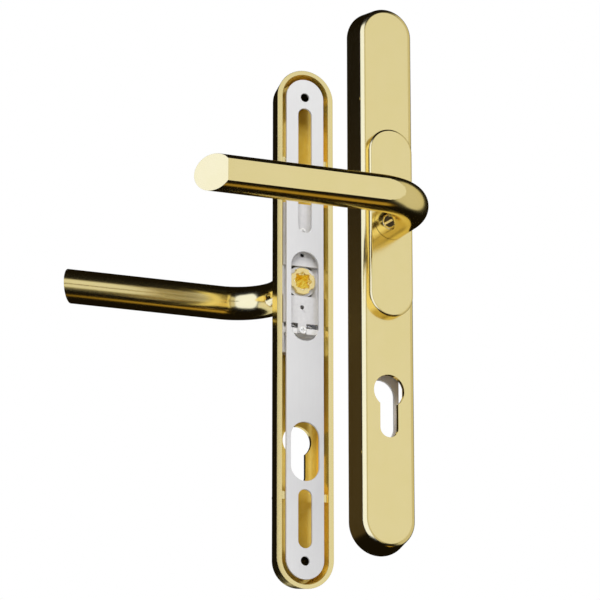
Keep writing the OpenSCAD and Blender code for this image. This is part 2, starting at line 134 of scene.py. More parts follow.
# Each window: turn and rise of its middle, half its width and height in degrees, its glow, and
# whether its light fades out over the felt. Turn 0 is in front of the outside handle. A little of the
# fading light reaches further than the rest.
tent_r = 2.5
edge_fade = 2
far_fade = 6
far_share = 0.2
felt_glow = (0.0075, 0.0060, 0.0042)
windows = [
    ((-61, -2), (44, 44), (0.98, 1.18, 2.40), True),
    ((73, 6), (33, 46), (0.61, 0.63, 0.72), True),
    ((13, 4), (30, 26), (0.61, 0.63, 0.72), True),
    ((22, 5), (8, 25), (0.78, 0.86, 1.22), False),
    ((-2, -28), (14, 9), (0.61, 0.63, 0.72), True),
    ((76, -67), (20, 5), (0.44, 0.30, 0.07), True),
    ((-142, -5), (12, 21), (0.056, 0.043, 0.027), True)]


def cloth_glow(turn, rise):
    """How bright the tent is in a direction: felt, or a window with rounded corners."""
    glow = list(felt_glow)
    for (mid_turn, mid_rise), (half_turn, half_rise), colour, fades in windows:
        across = (turn - mid_turn + 180) % 360 - 180
        up = rise - mid_rise
        share = ((across / half_turn) ** 4 + (up / half_rise) ** 4) ** 0.25
        past = math.hypot(across, up) * (1 - 1 / max(share, 1))
        level = (1 - far_share) * math.exp(-past / edge_fade) + far_share * math.exp(-past / far_fade)
        if not fades:
            level = float(share <= 1)
        glow = [max(old, level * new) for old, new in zip(glow, colour)]
    return glow + [1]


def leave_to_reflections(hung):
    """Hides a piece of the studio from all but the rays that polished metal sends out."""
    for ray in ("camera", "diffuse", "transmission", "shadow", "volume_scatter"):
        setattr(hung, "visible_" + ray, False)


bpy.ops.mesh.primitive_uv_sphere_add(segments=240, ring_count=120, radius=tent_r)
tent = bpy.context.object
tent.name = "tent"
cloth = tent.data.color_attributes.new("cloth", "FLOAT_COLOR", "POINT")
for point, patch in zip(tent.data.vertices, cloth.data):
    out = point.co.normalized()
    turn = math.degrees(math.atan2(out.x, -out.y))
    rise = math.degrees(math.asin(max(-1, min(1, out.z))))
    patch.color = cloth_glow(turn, rise)
material, tree = new_material("felt and lit cloth")
glow = add(tree, "VertexColor", {"layer_name": "cloth"})
light = add(tree, "Emission", Color=glow.outputs["Color"], Strength=1.0)
add(tree, "OutputMaterial", Surface=light.outputs[0])
tent.data.materials.append(material)
leave_to_reflections(tent)

# Low windows behind the pair shine on the inside handle's front alone, as if screens kept their light
# off the rest. One of them lights only the flats and not the lever. Their turns run on past 180 degrees.
back_glow = (0.75, 0.82, 1.14, 1)
back_r = 2.425
front_places = (((112, 140), (-38, -6)), ((172, 200), (-38, -16)), ((200, 248), (-38, -12)))
flats_places = (((140, 172), (-38, -13)),)
inside_front = bpy.data.collections.new("inside_front")
inside_flats = bpy.data.collections.new("inside_flats")


def in_window(face, places):
    """Whether a face of a sphere lies in one of the windows, each given by its turns and its rises."""
    out = face.calc_center_median().normalized()
    turn = math.degrees(math.atan2(out.x, -out.y)) % 360
    rise = math.degrees(math.asin(out.z))
    return any(left < turn < right and low < rise < high for (left, right), (low, high) in places)


def back_windows(name, places, lit):
    """Hangs windows behind the pair that light one collection of pieces and are clear to the rest."""
    bpy.ops.mesh.primitive_uv_sphere_add(segments=180, ring_count=90, radius=back_r)
    hung = bpy.context.object
    hung.name = name
    bpy.ops.object.mode_set(mode="EDIT")
    bpy.ops.mesh.select_mode(type="FACE")
    bpy.ops.mesh.select_all(action="DESELECT")
    mesh = bmesh.from_edit_mesh(hung.data)
    for face in mesh.faces:
        face.select_set(not in_window(face, places))
    bmesh.update_edit_mesh(hung.data)
    bpy.ops.mesh.delete(type="FACE")
    bpy.ops.object.mode_set(mode="OBJECT")
    material, tree = new_material("lit cloth behind")
    light = add(tree, "Emission", Color=back_glow, Strength=1.0)
    clear = add(tree, "BsdfTransparent")
    mixed = add(tree, "AddShader", i0=light.outputs[0], i1=clear.outputs[0])
    add(tree, "OutputMaterial", Surface=mixed.outputs[0])
    hung.data.materials.append(material)
    leave_to_reflections(hung)
    hung.light_linking.receiver_collection = lit


back_windows("back_windows", front_places, inside_front)
back_windows("flats_window", flats_places, inside_flats)

lamp_place = (-0.81, -1.85, 1.62)
lamp_size = 1.6
lamp_watts = 67
bpy.ops.object.light_add(type="AREA", location=lamp_place)
lamp = bpy.context.object
lamp.data.size = lamp_size
lamp.data.energy = lamp_watts
lamp.rotation_euler = (-lamp.location).to_track_quat("-Z", "Y").to_euler()
lamp.visible_glossy = False
lamp.visible_camera = False

# The light goes on through as many reflections as the hollow plates give it.
bpy.context.scene.cycles.glossy_bounces = 12


# Backplates
# Each handle's plate is a hollow brass casting with round ends and leaning sides, polished and
# lacquered. Its rim lies on the door, and two pads on each side of the hollow carry the strip plate.
# Every piece is modelled lying on its back: x across the plate, y up it, z out of the door.
mm = 0.001
handle_gap = 101 * mm
plate_top = 125.5 * mm
plate_bottom = -178.5 * mm
plate_w = 34.5 * mm
plate_depth = 15 * mm
plate_lean = 2.6 * mm
plate_fillet = 2.273 * mm
rim_side = 3.2 * mm
rim_end = 2.5 * mm
cavity_z = 12.5 * mm
cavity_lean = plate_lean * cavity_z / plate_depth
rim_ease = 0.2 * mm
keyhole_y = -92 * mm
keyhole_r = 8.75 * mm
keyhole_slot_w = 10.4 * mm
keyhole_h = 34 * mm
keyhole_bottom = keyhole_y + keyhole_r - keyhole_h
bush_hole_r = 9.35 * mm
drum_room_r = 13.1 * mm
strip_front = 1.8 * mm
pad_r = 2.3 * mm
pad_x = 12.9 * mm
pad_root = 0.3 * mm
pad_places = (70 * mm, -126 * mm)
cut_over = 1 * mm
end_steps = 32
fillet_steps = 12
# How near two points are to count as one, how squarely a face looks along an axis to count as facing it,
# how sharp the rim's edges are in radians, and how far at least the hollow's faces look back.
weld = 0.001 * mm
same_place = 0.005 * mm
facing = 0.9
rim_sharp = 0.8
hollow_tilt = 0.05


def near(a, b):
    """Whether two measures are the same but for rounding."""
    return abs(a - b) < same_place


def middle(part):
    """The middle of a face or an edge."""
    return sum((v.co for v in part.verts), Vector()) / len(part.verts)


def pick(piece, kind, test):
    """In edit mode, selects just the vertices, edges or faces of a piece that pass a test."""
    bpy.ops.mesh.select_mode(type=kind)
    bpy.ops.mesh.select_all(action="DESELECT")
    mesh = bmesh.from_edit_mesh(piece.data)
    mesh.normal_update()
    for part in {"VERT": mesh.verts, "EDGE": mesh.edges, "FACE": mesh.faces}[kind]:
        part.select_set(test(part))
    mesh.select_flush_mode()
    bmesh.update_edit_mesh(piece.data)


def outline(name, width, low, high, z):
    """A flat face with two round ends, from low to high along the plate, left in edit mode."""
    bpy.ops.object.select_all(action="DESELECT")
    bpy.ops.mesh.primitive_plane_add(size=1, location=(0, (low + high) / 2, z))
    piece = bpy.context.object
    piece.name = name
    piece.scale = (width, high - low, 1)
    bpy.ops.object.transform_apply()
    bpy.ops.object.mode_set(mode="EDIT")
    bpy.ops.mesh.select_all(action="SELECT")
    bpy.ops.mesh.bevel(offset=width / 2, affect="VERTICES", segments=end_steps, clamp_overlap=False)
    bpy.ops.mesh.select_all(action="SELECT")
    bpy.ops.mesh.remove_doubles(threshold=weld)
    return piece


def raise_face(piece, height):
    """In edit mode, extrudes a flat face into a plate with its faces outwards, and leaves edit mode."""
    bpy.ops.mesh.select_all(action="SELECT")
    bpy.ops.mesh.extrude_region_move(TRANSFORM_OT_translate={"value": (0, 0, height)})
    bpy.ops.mesh.select_all(action="SELECT")
    bpy.ops.mesh.normals_make_consistent(inside=False)
    bpy.ops.object.mode_set(mode="OBJECT")
    return piece


def block(name, low, high):
    """A rectangular block between two corners."""
    bpy.ops.object.select_all(action="DESELECT")
    bpy.ops.mesh.primitive_cube_add(size=1, location=(Vector(low) + Vector(high)) / 2)
    piece = bpy.context.object
    piece.name = name
    piece.scale = Vector(high) - Vector(low)
    bpy.ops.object.transform_apply()
    return piece


def drum(name, radius, place, height, steps=128):
    """A round block that stands on a place."""
    bpy.ops.object.select_all(action="DESELECT")
    location = Vector(place) + Vector((0, 0, height / 2))
    bpy.ops.mesh.primitive_cylinder_add(vertices=steps, radius=radius, depth=height, location=location)
    piece = bpy.context.object
    piece.name = name
    bpy.ops.object.transform_apply()
    return piece


def combine(piece, other, operation):
    """Cuts another shape out of a piece, or joins it to the piece, and removes that shape."""
    bpy.ops.object.select_all(action="DESELECT")
    bpy.context.view_layer.objects.active = piece
    piece.select_set(True)
    bpy.ops.object.modifier_add(type="BOOLEAN")
    modifier = piece.modifiers[-1]
    modifier.operation = operation
    modifier.solver = "EXACT"
    modifier.object = other
    bpy.ops.object.modifier_apply(modifier=modifier.name)
    bpy.data.objects.remove(other)


def ease(piece, width, steps=2, angle=35):
    """Rounds every sharp edge of a piece a little, as tumbling or polishing does."""
    bpy.ops.object.select_all(action="DESELECT")
    bpy.context.view_layer.objects.active = piece
    piece.select_set(True)
    bpy.ops.object.modifier_add(type="BEVEL")
    modifier = piece.modifiers[-1]
    modifier.width = width
    modifier.segments = steps
    modifier.limit_method = "ANGLE"
    modifier.angle_limit = math.radians(angle)
    modifier.use_clamp_overlap = False
    bpy.ops.object.modifier_apply(modifier=modifier.name)


def smooth(piece, angle=30, flat_weight=90):
    """Shades a piece smoothly except over sharp edges, with its flats kept flat."""
    bpy.ops.object.select_all(action="DESELECT")
    bpy.context.view_layer.objects.active = piece
    piece.select_set(True)
    bpy.ops.object.shade_smooth_by_angle(angle=math.radians(angle))
    bpy.ops.object.modifier_add(type="WEIGHTED_NORMAL")
    piece.modifiers[-1].keep_sharp = True
    piece.modifiers[-1].weight = flat_weight
    bpy.ops.object.modifier_apply(modifier=piece.modifiers[-1].name)


def hang_pair(piece, name, part, slot, rides_on="plates"):
    """Stands a shape up as the outside handle's piece, and its mirror image as the inside one's."""
    stood_up = Matrix.Rotation(math.radians(90), 4, "X")
    piece.matrix_world = Matrix.Translation((0, -handle_gap / 2, 0)) @ stood_up
    bpy.ops.object.select_all(action="DESELECT")
    bpy.context.view_layer.objects.active = piece
    piece.select_set(True)
    bpy.ops.object.transform_apply()
    bpy.ops.object.duplicate()
    twin = bpy.context.object
    twin.scale.y = -1
    bpy.ops.object.transform_apply()
    bpy.ops.object.mode_set(mode="EDIT")
    bpy.ops.mesh.select_all(action="SELECT")
    bpy.ops.mesh.normals_make_consistent(inside=False)
    bpy.ops.object.mode_set(mode="OBJECT")
    for side, made in (("outside", piece), ("inside", twin)):
        made.name = f"{side}_{name}"
        smooth(made)
        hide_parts(f"{side}_{part}")
        if rides_on:
            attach(made, rides_on.format(side))
    if slot == "polished_brass":
        inside_front.objects.link(twin)
        if rides_on == "plates":
            inside_flats.objects.link(twin)
    return piece, twin


def on_hollow_mouth(v):
    """Whether a point of the plate's back lies on the edge of the face that sinks to make the hollow."""
    back_faces = [f for f in v.link_faces if f.normal.z < -facing]
    return near(v.co.z, 0) and len(v.link_edges) == 3 and any(len(f.verts) > 4 for f in back_faces)


# Brass casting alloy, buffed on a wheel and lacquered: a pale mirror with a very slight haze. The buffing
# leaves faint streaks along the plate, drawn 0.8 mm apart because the real ones are too fine to show.
# Noise in this file lies mostly between noise_low and noise_high.
buff_streak = 0.8 * mm
buff_stretch = 0.06
buff_patch = 9 * mm
noise_low = 0.3
noise_high = 0.7
glint_tint = linear("#F9EEBE")
polished_brass, tree = new_material("polished lacquered brass")
place = add(tree, "TexCoord")
along = add(tree, "Mapping", Vector=place.outputs["Object"], Scale=(1, 1, buff_stretch))
streaks = add(tree, "TexNoise", Vector=along.outputs[0], Scale=1 / buff_streak, Detail=2, Roughness=0.5)
patches = add(tree, "TexNoise", Vector=place.outputs["Object"], Scale=1 / buff_patch, Detail=3)
haze = add(
    tree, "Mix", {"data_type": "FLOAT"}, Factor=0.4,
    A=patches.outputs["Fac"], B=streaks.outputs["Fac"])
rough = add(
    tree, "MapRange", Value=haze.outputs[0], From_Min=noise_low, From_Max=noise_high,
    To_Min=0.165, To_Max=0.185)
tint = add(tree, "ValToRGB", Fac=patches.outputs["Fac"])
tint.color_ramp.elements[0].position = noise_low
tint.color_ramp.elements[0].color = linear("#F9DF89")
tint.color_ramp.elements[1].position = noise_high
tint.color_ramp.elements[1].color = linear("#FBE18D")
wave = add(tree, "Bump", Height=streaks.outputs["Fac"], Strength=0.01, Distance=0.05 * mm)
shader = add(
    tree, "BsdfPrincipled", Base_Color=tint.outputs[0], Roughness=rough.outputs[0],
    Normal=wave.outputs[0], Metallic=1.0, Specular_Tint=glint_tint)
add(tree, "OutputMaterial", Surface=shader.outputs[0])

# Inside the hollow the casting isn't buffed, only lacquered: a deep satin gold, a little mottled. That deep
# gold and its matt share are painted light: they stand in for the golden light that bounces between the
# hollow's brass faces.
cast_patch = 4 * mm
bounce_painted_brass, tree = new_material("cast brass with painted bounce light")
place = add(tree, "TexCoord")
mottle = add(
    tree, "TexNoise", Vector=place.outputs["Object"], Scale=1 / cast_patch, Detail=5, Roughness=0.6)
tint = add(tree, "ValToRGB", Fac=mottle.outputs["Fac"])
tint.color_ramp.elements[0].position = noise_low
tint.color_ramp.elements[0].color = linear("#F2C94C")
tint.color_ramp.elements[1].position = noise_high
tint.color_ramp.elements[1].color = linear("#F9D55E")
rough = add(
    tree, "MapRange", Value=mottle.outputs["Fac"], From_Min=noise_low, From_Max=noise_high,
    To_Min=0.14, To_Max=0.22)
dents = add(tree, "Bump", Height=mottle.outputs["Fac"], Strength=0.1, Distance=0.1 * mm)
shader = add(
    tree, "BsdfPrincipled", Base_Color=tint.outputs[0], Roughness=rough.outputs[0],
    Normal=dents.outputs[0], Metallic=0.42)
add(tree, "OutputMaterial", Surface=shader.outputs[0])

# The hollow's side walls are smoother, where they slid from the mould, and shine more. Their colour keeps
# the same painted bounce light.
wall_brass = bounce_painted_brass.copy()
wall_brass.name = "wall brass with painted bounce light"
wall_brass.node_tree.nodes["Principled BSDF"].inputs["Metallic"].default_value = 0.75

plate = outline("plate", plate_w, plate_bottom, plate_top, 0)
bpy.ops.mesh.select_all(action="SELECT")
bpy.ops.mesh.inset(thickness=plate_lean, depth=plate_depth)
bpy.ops.mesh.select_mode(type="EDGE")
bpy.ops.mesh.select_all(action="DESELECT")
bpy.ops.mesh.select_non_manifold()
bpy.ops.mesh.edge_face_add()
bpy.ops.mesh.select_all(action="SELECT")
bpy.ops.mesh.normals_make_consistent(inside=False)
pick(plate, "FACE", lambda face: face.normal.z < -facing)
bpy.ops.mesh.inset(thickness=rim_side, depth=0)
for end in (1, -1):
    pick(plate, "VERT", lambda v: on_hollow_mouth(v) and end * v.co.y > 0)
    bpy.ops.transform.translate(value=(0, end * (rim_side - rim_end), 0))
pick(plate, "FACE", lambda face: face.normal.z < -facing and len(face.verts) > 4)
bpy.ops.mesh.inset(thickness=cavity_lean, depth=-cavity_z)
pick(plate, "EDGE", lambda e: all(near(v.co.z, plate_depth) for v in e.verts))
bpy.ops.mesh.bevel(offset=plate_fillet, segments=fillet_steps, affect="EDGES", clamp_overlap=False)
pick(plate, "EDGE", lambda e: all(near(v.co.z, 0) for v in e.verts) and e.calc_face_angle(0) > rim_sharp)
bpy.ops.mesh.bevel(offset=rim_ease, segments=2, affect="EDGES", clamp_overlap=False)
bpy.ops.object.mode_set(mode="OBJECT")
plate.data.materials.append(polished_brass)
plate.data.materials.append(bounce_painted_brass)
plate.data.materials.append(wall_brass)
# The hollow's faces take the brass with painted bounce light: the floor one copy, the walls the other.
for face in plate.data.polygons:
    if face.center.z > rim_ease and face.normal.z < -hollow_tilt:
        face.material_index = 1 if face.normal.z < -facing else 2

wall_low = cavity_z - cut_over
wall_cut = plate_depth - cavity_z + 2 * cut_over
combine(plate, drum("keyhole", keyhole_r, (0, keyhole_y, wall_low), wall_cut), "DIFFERENCE")
leg = outline("leg", keyhole_slot_w, keyhole_bottom, keyhole_y + keyhole_slot_w / 2, wall_low)
combine(plate, raise_face(leg, wall_cut), "DIFFERENCE")
combine(plate, drum("bush_hole", bush_hole_r, (0, 0, wall_low), wall_cut), "DIFFERENCE")
combine(plate, drum("drum_room", drum_room_r, (0, 0, strip_front), cavity_z - strip_front), "DIFFERENCE")
for y in pad_places:
    for x in (pad_x, -pad_x):
        pad = drum("pad", pad_r, (x, y, strip_front), cavity_z - strip_front + pad_root, 48)
        combine(plate, pad, "UNION")
hang_pair(plate, "polished_backplate", "backplate", "polished_brass")


# Fixing posts
# Two round posts stand in each hollow, with a threaded hole for the bolt that draws the pair together
# through the door. They are turned from brass rod and riveted into the plate's front wall.
def finish_nodes(part, material):
    """Gives both handles' CAD pieces of a kind their material."""
    for side in ("outside", "inside"):
        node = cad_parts[f"{side}_{part}"]
        node.data.materials.clear()
        node.data.materials.append(material)


# Free-cutting brass rod: satin, with short scratches from the cutter, drawn 0.6 mm apart because the real
# ones are too fine to show. Its nearly black brown is painted shade on the posts deep in the hollow behind
# the strip, and a painted dark reflection on the grub screws' end faces.
cut_mark = 0.6 * mm
dark_painted_brass, tree = new_material("brass rod painted dark for shade")
place = add(tree, "TexCoord")
marks = add(
    tree, "TexNoise", Vector=place.outputs["Object"], Scale=1 / cut_mark, Detail=4, Roughness=0.6)
tint = add(tree, "ValToRGB", Fac=marks.outputs["Fac"])
tint.color_ramp.elements[0].position = noise_low
tint.color_ramp.elements[0].color = linear("#33260F")
tint.color_ramp.elements[1].position = noise_high
tint.color_ramp.elements[1].color = linear("#4A3819")
rough = add(
    tree, "MapRange", Value=marks.outputs["Fac"], From_Min=noise_low, From_Max=noise_high,
    To_Min=0.3, To_Max=0.42)
dents = add(tree, "Bump", Height=marks.outputs["Fac"], Strength=0.15, Distance=0.03 * mm)
shader = add(
    tree, "BsdfPrincipled", Base_Color=tint.outputs[0], Roughness=rough.outputs[0],
    Normal=dents.outputs[0], Metallic=1.0)
add(tree, "OutputMaterial", Surface=shader.outputs[0])
finish_nodes("fixing_posts", dark_painted_brass)

# Roses
# Each rose is a raised plate around the lever's neck, with round ends and a rolled front edge. It is
# pressed from brass, polished with the backplate and fixed to it from behind.
rose_w = 25 * mm
rose_half_len = 52.3 * mm
rose_t = 4.9 * mm
rose_edge = 1.2 * mm
rose_front = plate_depth + rose_t

rose = outline("rose", rose_w, -rose_half_len, rose_half_len, plate_depth)
raise_face(rose, rose_t)
bpy.ops.object.mode_set(mode="EDIT")
pick(rose, "EDGE", lambda e: all(near(v.co.z, rose_front) for v in e.verts))
bpy.ops.mesh.bevel(offset=rose_edge, segments=8, affect="EDGES", clamp_overlap=False)
bpy.ops.object.mode_set(mode="OBJECT")
neck_hole = drum("neck_hole", bush_hole_r, (0, 0, plate_depth - cut_over), rose_t + 2 * cut_over)
combine(rose, neck_hole, "DIFFERENCE")
rose.data.materials.append(polished_brass)
hang_pair(rose, "polished_rose", "rose", "polished_brass")

# Bushes
# A moulded sleeve with a collar lines the hole through each plate and rose, and the lever's spigot
# turns in it. It is dark nylon, pressed in from behind, and shows as a thin line under the neck.

# Filled nylon: nearly black, with the faint mottle and soft sheen of a moulding.
nylon_grain = 0.5 * mm
nylon, tree = new_material("moulded dark nylon")
place = add(tree, "TexCoord")
grain = add(tree, "TexNoise", Vector=place.outputs["Object"], Scale=1 / nylon_grain, Detail=3)
tint = add(tree, "ValToRGB", Fac=grain.outputs["Fac"])
tint.color_ramp.elements[0].color = linear("#1B1A18")
tint.color_ramp.elements[1].color = linear("#2E2C28")
dents = add(tree, "Bump", Height=grain.outputs["Fac"], Strength=0.2, Distance=0.02 * mm)
shader = add(
    tree, "BsdfPrincipled", Base_Color=tint.outputs[0], Normal=dents.outputs[0],
    Roughness=0.48, IOR=1.53)
add(tree, "OutputMaterial", Surface=shader.outputs[0])
finish_nodes("bush", nylon)

# Levers
# Each lever is a round brass bar, bent from the neck, with a flat milled along its front and its tip
# cut off at a slant. A spigot below the neck turns in the bush, and its bore takes the hub's barrel.
bar_r = 9.8 * mm
neck_z = 20.2 * mm
bend_z = 38 * mm
bend_r = 27 * mm
bar_z = bend_z + bend_r
lever_len = 126.3 * mm
flat_cut = 1.9 * mm
flat_z = bar_z + bar_r - flat_cut
tip_angle = math.radians(34)
spigot_r = 8 * mm
spigot_z = 11.2 * mm
bore_r = 6.65 * mm
bore_depth = 14.1 * mm
grub_turn = math.radians(210)
grub_lean = math.radians(52)
grub_mouth = Vector((-8.487, -4.9, 34.1)) * mm
grub_hole_r = 4.05 * mm
grub_hole_depth = 7.3 * mm
bar_ease = 0.18 * mm
mouth_ease = 0.8 * mm
bar_sides = 160
bend_steps = 56
bar_sharp = 0.35

# The same brass, buffed along the bar instead of along the plate.
bar_brass = polished_brass.copy()
bar_brass.name = "polished lacquered brass bar"
bar_brass.node_tree.nodes["Mapping"].inputs["Scale"].default_value = (buff_stretch, 1, 1)

bpy.ops.object.select_all(action="DESELECT")
bpy.ops.mesh.primitive_circle_add(
    vertices=bar_sides, radius=bar_r, fill_type="NGON", location=(0, 0, neck_z))
lever = bpy.context.object
lever.name = "lever"
bpy.ops.object.transform_apply()
bpy.ops.object.mode_set(mode="EDIT")
bpy.ops.mesh.select_all(action="SELECT")
bpy.ops.mesh.extrude_region_move(TRANSFORM_OT_translate={"value": (0, 0, bend_z - neck_z)})
bpy.ops.mesh.spin(steps=bend_steps, angle=math.radians(90), center=(-bend_r, 0, bend_z), axis=(0, 1, 0))
bpy.ops.mesh.extrude_region_move(TRANSFORM_OT_translate={"value": (bend_r - lever_len - bar_r, 0, 0)})
bpy.ops.mesh.select_all(action="SELECT")
bpy.ops.mesh.normals_make_consistent(inside=False)
bpy.ops.mesh.bisect(plane_co=(0, 0, flat_z), plane_no=(0, 0, 1), use_fill=True, clear_outer=True)
tip_place = Vector((-lever_len, 0, bar_z - bar_r))
tip_facing = Vector((-math.cos(tip_angle), 0, math.sin(tip_angle)))
bpy.ops.mesh.select_all(action="SELECT")
bpy.ops.mesh.bisect(plane_co=tip_place, plane_no=tip_facing, use_fill=True, clear_outer=True)
pick(lever, "FACE", lambda face: near(middle(face).z, neck_z) and face.normal.z < -facing)
bpy.ops.mesh.inset(thickness=bar_r - spigot_r, depth=0)
bpy.ops.mesh.extrude_region_move(TRANSFORM_OT_translate={"value": (0, 0, spigot_z - neck_z)})
bpy.ops.mesh.inset(thickness=spigot_r - bore_r, depth=0)
bpy.ops.mesh.extrude_region_move(TRANSFORM_OT_translate={"value": (0, 0, bore_depth)})
pick(lever, "EDGE", lambda e: e.calc_face_angle(0) > bar_sharp
     and (all(near((v.co - tip_place).dot(tip_facing), 0) for v in e.verts)
          or all(near(v.co.z, flat_z) for v in e.verts)))
bpy.ops.mesh.bevel(offset=bar_ease, segments=2, affect="EDGES", clamp_overlap=False)
bpy.ops.object.mode_set(mode="OBJECT")
grub_turned = Matrix.Rotation(grub_turn, 4, "Z") @ Matrix.Rotation(grub_lean, 4, "Y")
grub_place = Matrix.Translation(grub_mouth) @ grub_turned
grub_hole = drum("grub_hole", grub_hole_r, (0, 0, -grub_hole_depth), grub_hole_depth + 2 * bar_r, 96)
grub_hole.matrix_world = grub_place
combine(lever, grub_hole, "DIFFERENCE")
to_grub = grub_place.inverted()


def on_grub_mouth(v):
    """Whether a point lies on the edge where the grub screw's hole meets the bar's surface."""
    across = to_grub @ v.co
    return near(math.hypot(across.x, across.y), grub_hole_r) and across.z > -grub_hole_depth / 2


bpy.ops.object.mode_set(mode="EDIT")
pick(lever, "EDGE", lambda e: all(on_grub_mouth(v) for v in e.verts))
bpy.ops.mesh.bevel(offset=mouth_ease, segments=5, affect="EDGES", clamp_overlap=False)
bpy.ops.object.mode_set(mode="OBJECT")
lever.data.materials.append(bar_brass)
hang_pair(lever, "polished_lever", "lever", "polished_brass", "{}_lever_body")

# Grub screws
# A slotted screw sits a little below the surface of each neck and clamps the hub's barrel in the
# lever's bore. It is cut from brass rod, with a chamfered end.
grub_r = 4 * mm
grub_len = 5 * mm
grub_sink = 2.2 * mm
grub_chamfer = 0.8 * mm
grub_slot_w = 1.1 * mm
grub_slot_t = 1.4 * mm
grub_ease = 0.08 * mm

grub = drum("grub", grub_r, (0, 0, 0), grub_len, 96)
bpy.ops.object.mode_set(mode="EDIT")
pick(grub, "EDGE", lambda e: all(near(v.co.z, grub_len) for v in e.verts))
bpy.ops.mesh.bevel(offset=grub_chamfer, segments=1, affect="EDGES", clamp_overlap=False)
bpy.ops.object.mode_set(mode="OBJECT")
slot_low = (-2 * grub_r, -grub_slot_w / 2, grub_len - grub_slot_t)
slot_high = (2 * grub_r, grub_slot_w / 2, 2 * grub_len)
combine(grub, block("slot", slot_low, slot_high), "DIFFERENCE")
ease(grub, grub_ease)
grub.matrix_world = grub_place @ Matrix.Translation((0, 0, -grub_sink - grub_len))
bpy.ops.object.transform_apply()
# Its end face has the posts' dark brown, a painted dark reflection, and its slot and chamfer have the
# hollow's deep gold, a painted golden glint.
grub.data.materials.append(bounce_painted_brass)
grub.data.materials.append(dark_painted_brass)
end_facing = grub_place.to_3x3() @ Vector((0, 0, 1))
for face in grub.data.polygons:
    sunk = (to_grub @ face.center).z
    face.material_index = int(face.normal.dot(end_facing) > facing and near(sunk, -grub_sink))
hang_pair(grub, "slotted_grub_screw", "grub_screw", "turned_brass", "{}_lever_body")

# Hubs
# Each hub is a barrel with a square socket for the spindle, a flange and a crank pin that moves the
# slider. It is turned and broached brass, clamped in the lever's bore.

# Broached brass with the slanting marks that the tool's teeth leave in the socket, drawn 1.2 mm apart so
# that they show. Its near-white streaks and its paleness are painted highlights, which brighten the deep,
# shaded socket.
broach_mark = 1.2 * mm
broach_turn = math.radians(-38)
broach_stretch = (12, 5, 1)
highlit_broached_brass, tree = new_material("broached brass with painted highlights")
place = add(tree, "TexCoord")
slant = add(
    tree, "Mapping", {"vector_type": "TEXTURE"}, Vector=place.outputs["Object"],
    Rotation=(0, broach_turn, 0), Scale=broach_stretch)
marks = add(tree, "TexNoise", Vector=slant.outputs[0], Scale=1 / broach_mark, Detail=1, Roughness=0.4)
tint = add(tree, "ValToRGB", Fac=marks.outputs["Fac"])
tint.color_ramp.elements[0].position = 0.36
tint.color_ramp.elements[0].color = linear("#F4D880")
tint.color_ramp.elements[1].position = 0.46
tint.color_ramp.elements[1].color = linear("#FFF7CE")
dents = add(tree, "Bump", Height=marks.outputs["Fac"], Strength=0.05, Distance=0.04 * mm)
shader = add(
    tree, "BsdfPrincipled", Base_Color=tint.outputs[0], Roughness=0.07,
    Normal=dents.outputs[0], Metallic=1.0, Specular_Tint=glint_tint)
add(tree, "OutputMaterial", Surface=shader.outputs[0])
finish_nodes("hub", highlit_broached_brass)

# Hub washers
# A bright ring lies behind each hub's crown and bears on the covers. It is stamped from steel and
# zinc plated, and the crown holds it.
washer_r = 9.2 * mm
washer_hole_r = 6.65 * mm
washer_z = 6.1 * mm
washer_t = 0.8 * mm
washer_ease = 0.12 * mm

# Bright zinc plating on steel: pale blue-grey and smooth, with the faint cloudiness of the bath.
plating_cloud = 3 * mm
bright_zinc, tree = new_material("bright zinc plated steel")
place = add(tree, "TexCoord")
clouds = add(tree, "TexNoise", Vector=place.outputs["Object"], Scale=1 / plating_cloud, Detail=4)
tint = add(tree, "ValToRGB", Fac=clouds.outputs["Fac"])
tint.color_ramp.elements[0].position = noise_low
tint.color_ramp.elements[0].color = linear("#DCDBD6")
tint.color_ramp.elements[1].position = noise_high
tint.color_ramp.elements[1].color = linear("#EAE9E4")
rough = add(
    tree, "MapRange", Value=clouds.outputs["Fac"], From_Min=noise_low, From_Max=noise_high,
    To_Min=0.2, To_Max=0.3)
shader = add(tree, "BsdfPrincipled", Base_Color=tint.outputs[0], Roughness=rough.outputs[0], Metallic=0.12)
add(tree, "OutputMaterial", Surface=shader.outputs[0])

washer = drum("washer", washer_r, (0, 0, washer_z), washer_t, 96)
combine(washer, drum("washer_hole", washer_hole_r, (0, 0, 0), 2 * washer_z, 96), "DIFFERENCE")
ease(washer, washer_ease)
washer.data.materials.append(bright_zinc)
hang_pair(washer, "bright_hub_washer", "hub_washer", "steel", "{}_lever_body")

# Hub crowns
# A castellated ring closes each hub behind its washer. Its eight-point hole takes the square spindle
# in two positions. It is turned and broached brass, and four notches take the tool that tightens it.
crown_r = 7.7 * mm
crown_z = 3.8 * mm
crown_t = 2.3 * mm
socket_half = 4.05 * mm
notch_half = 1.6 * mm
notch_t = 0.9 * mm
crown_ease = 0.15 * mm

# Turned brass: satin, with fine lathe rings about the spindle, drawn 0.5 mm apart so that they show.
lathe_ring = 0.5 * mm
turned_brass, tree = new_material("turned brass")
place = add(tree, "TexCoord")
rings = add(
    tree, "TexWave", {"wave_type": "RINGS", "rings_direction": "Y"}, Vector=place.outputs["Object"],
    Scale=math.pi / (10 * lathe_ring), Distortion=0.8, Detail=2)
tint = add(tree, "ValToRGB", Fac=rings.outputs["Fac"])
tint.color_ramp.elements[0].color = linear("#ECCF7C")
tint.color_ramp.elements[1].color = linear("#F8DE90")
rough = add(tree, "MapRange", Value=rings.outputs["Fac"], To_Min=0.1, To_Max=0.16)
dents = add(tree, "Bump", Height=rings.outputs["Fac"], Strength=0.12, Distance=0.03 * mm)
shader = add(
    tree, "BsdfPrincipled", Base_Color=tint.outputs[0], Roughness=rough.outputs[0],
    Normal=dents.outputs[0], Metallic=0.8, Specular_Tint=glint_tint)
add(tree, "OutputMaterial", Surface=shader.outputs[0])

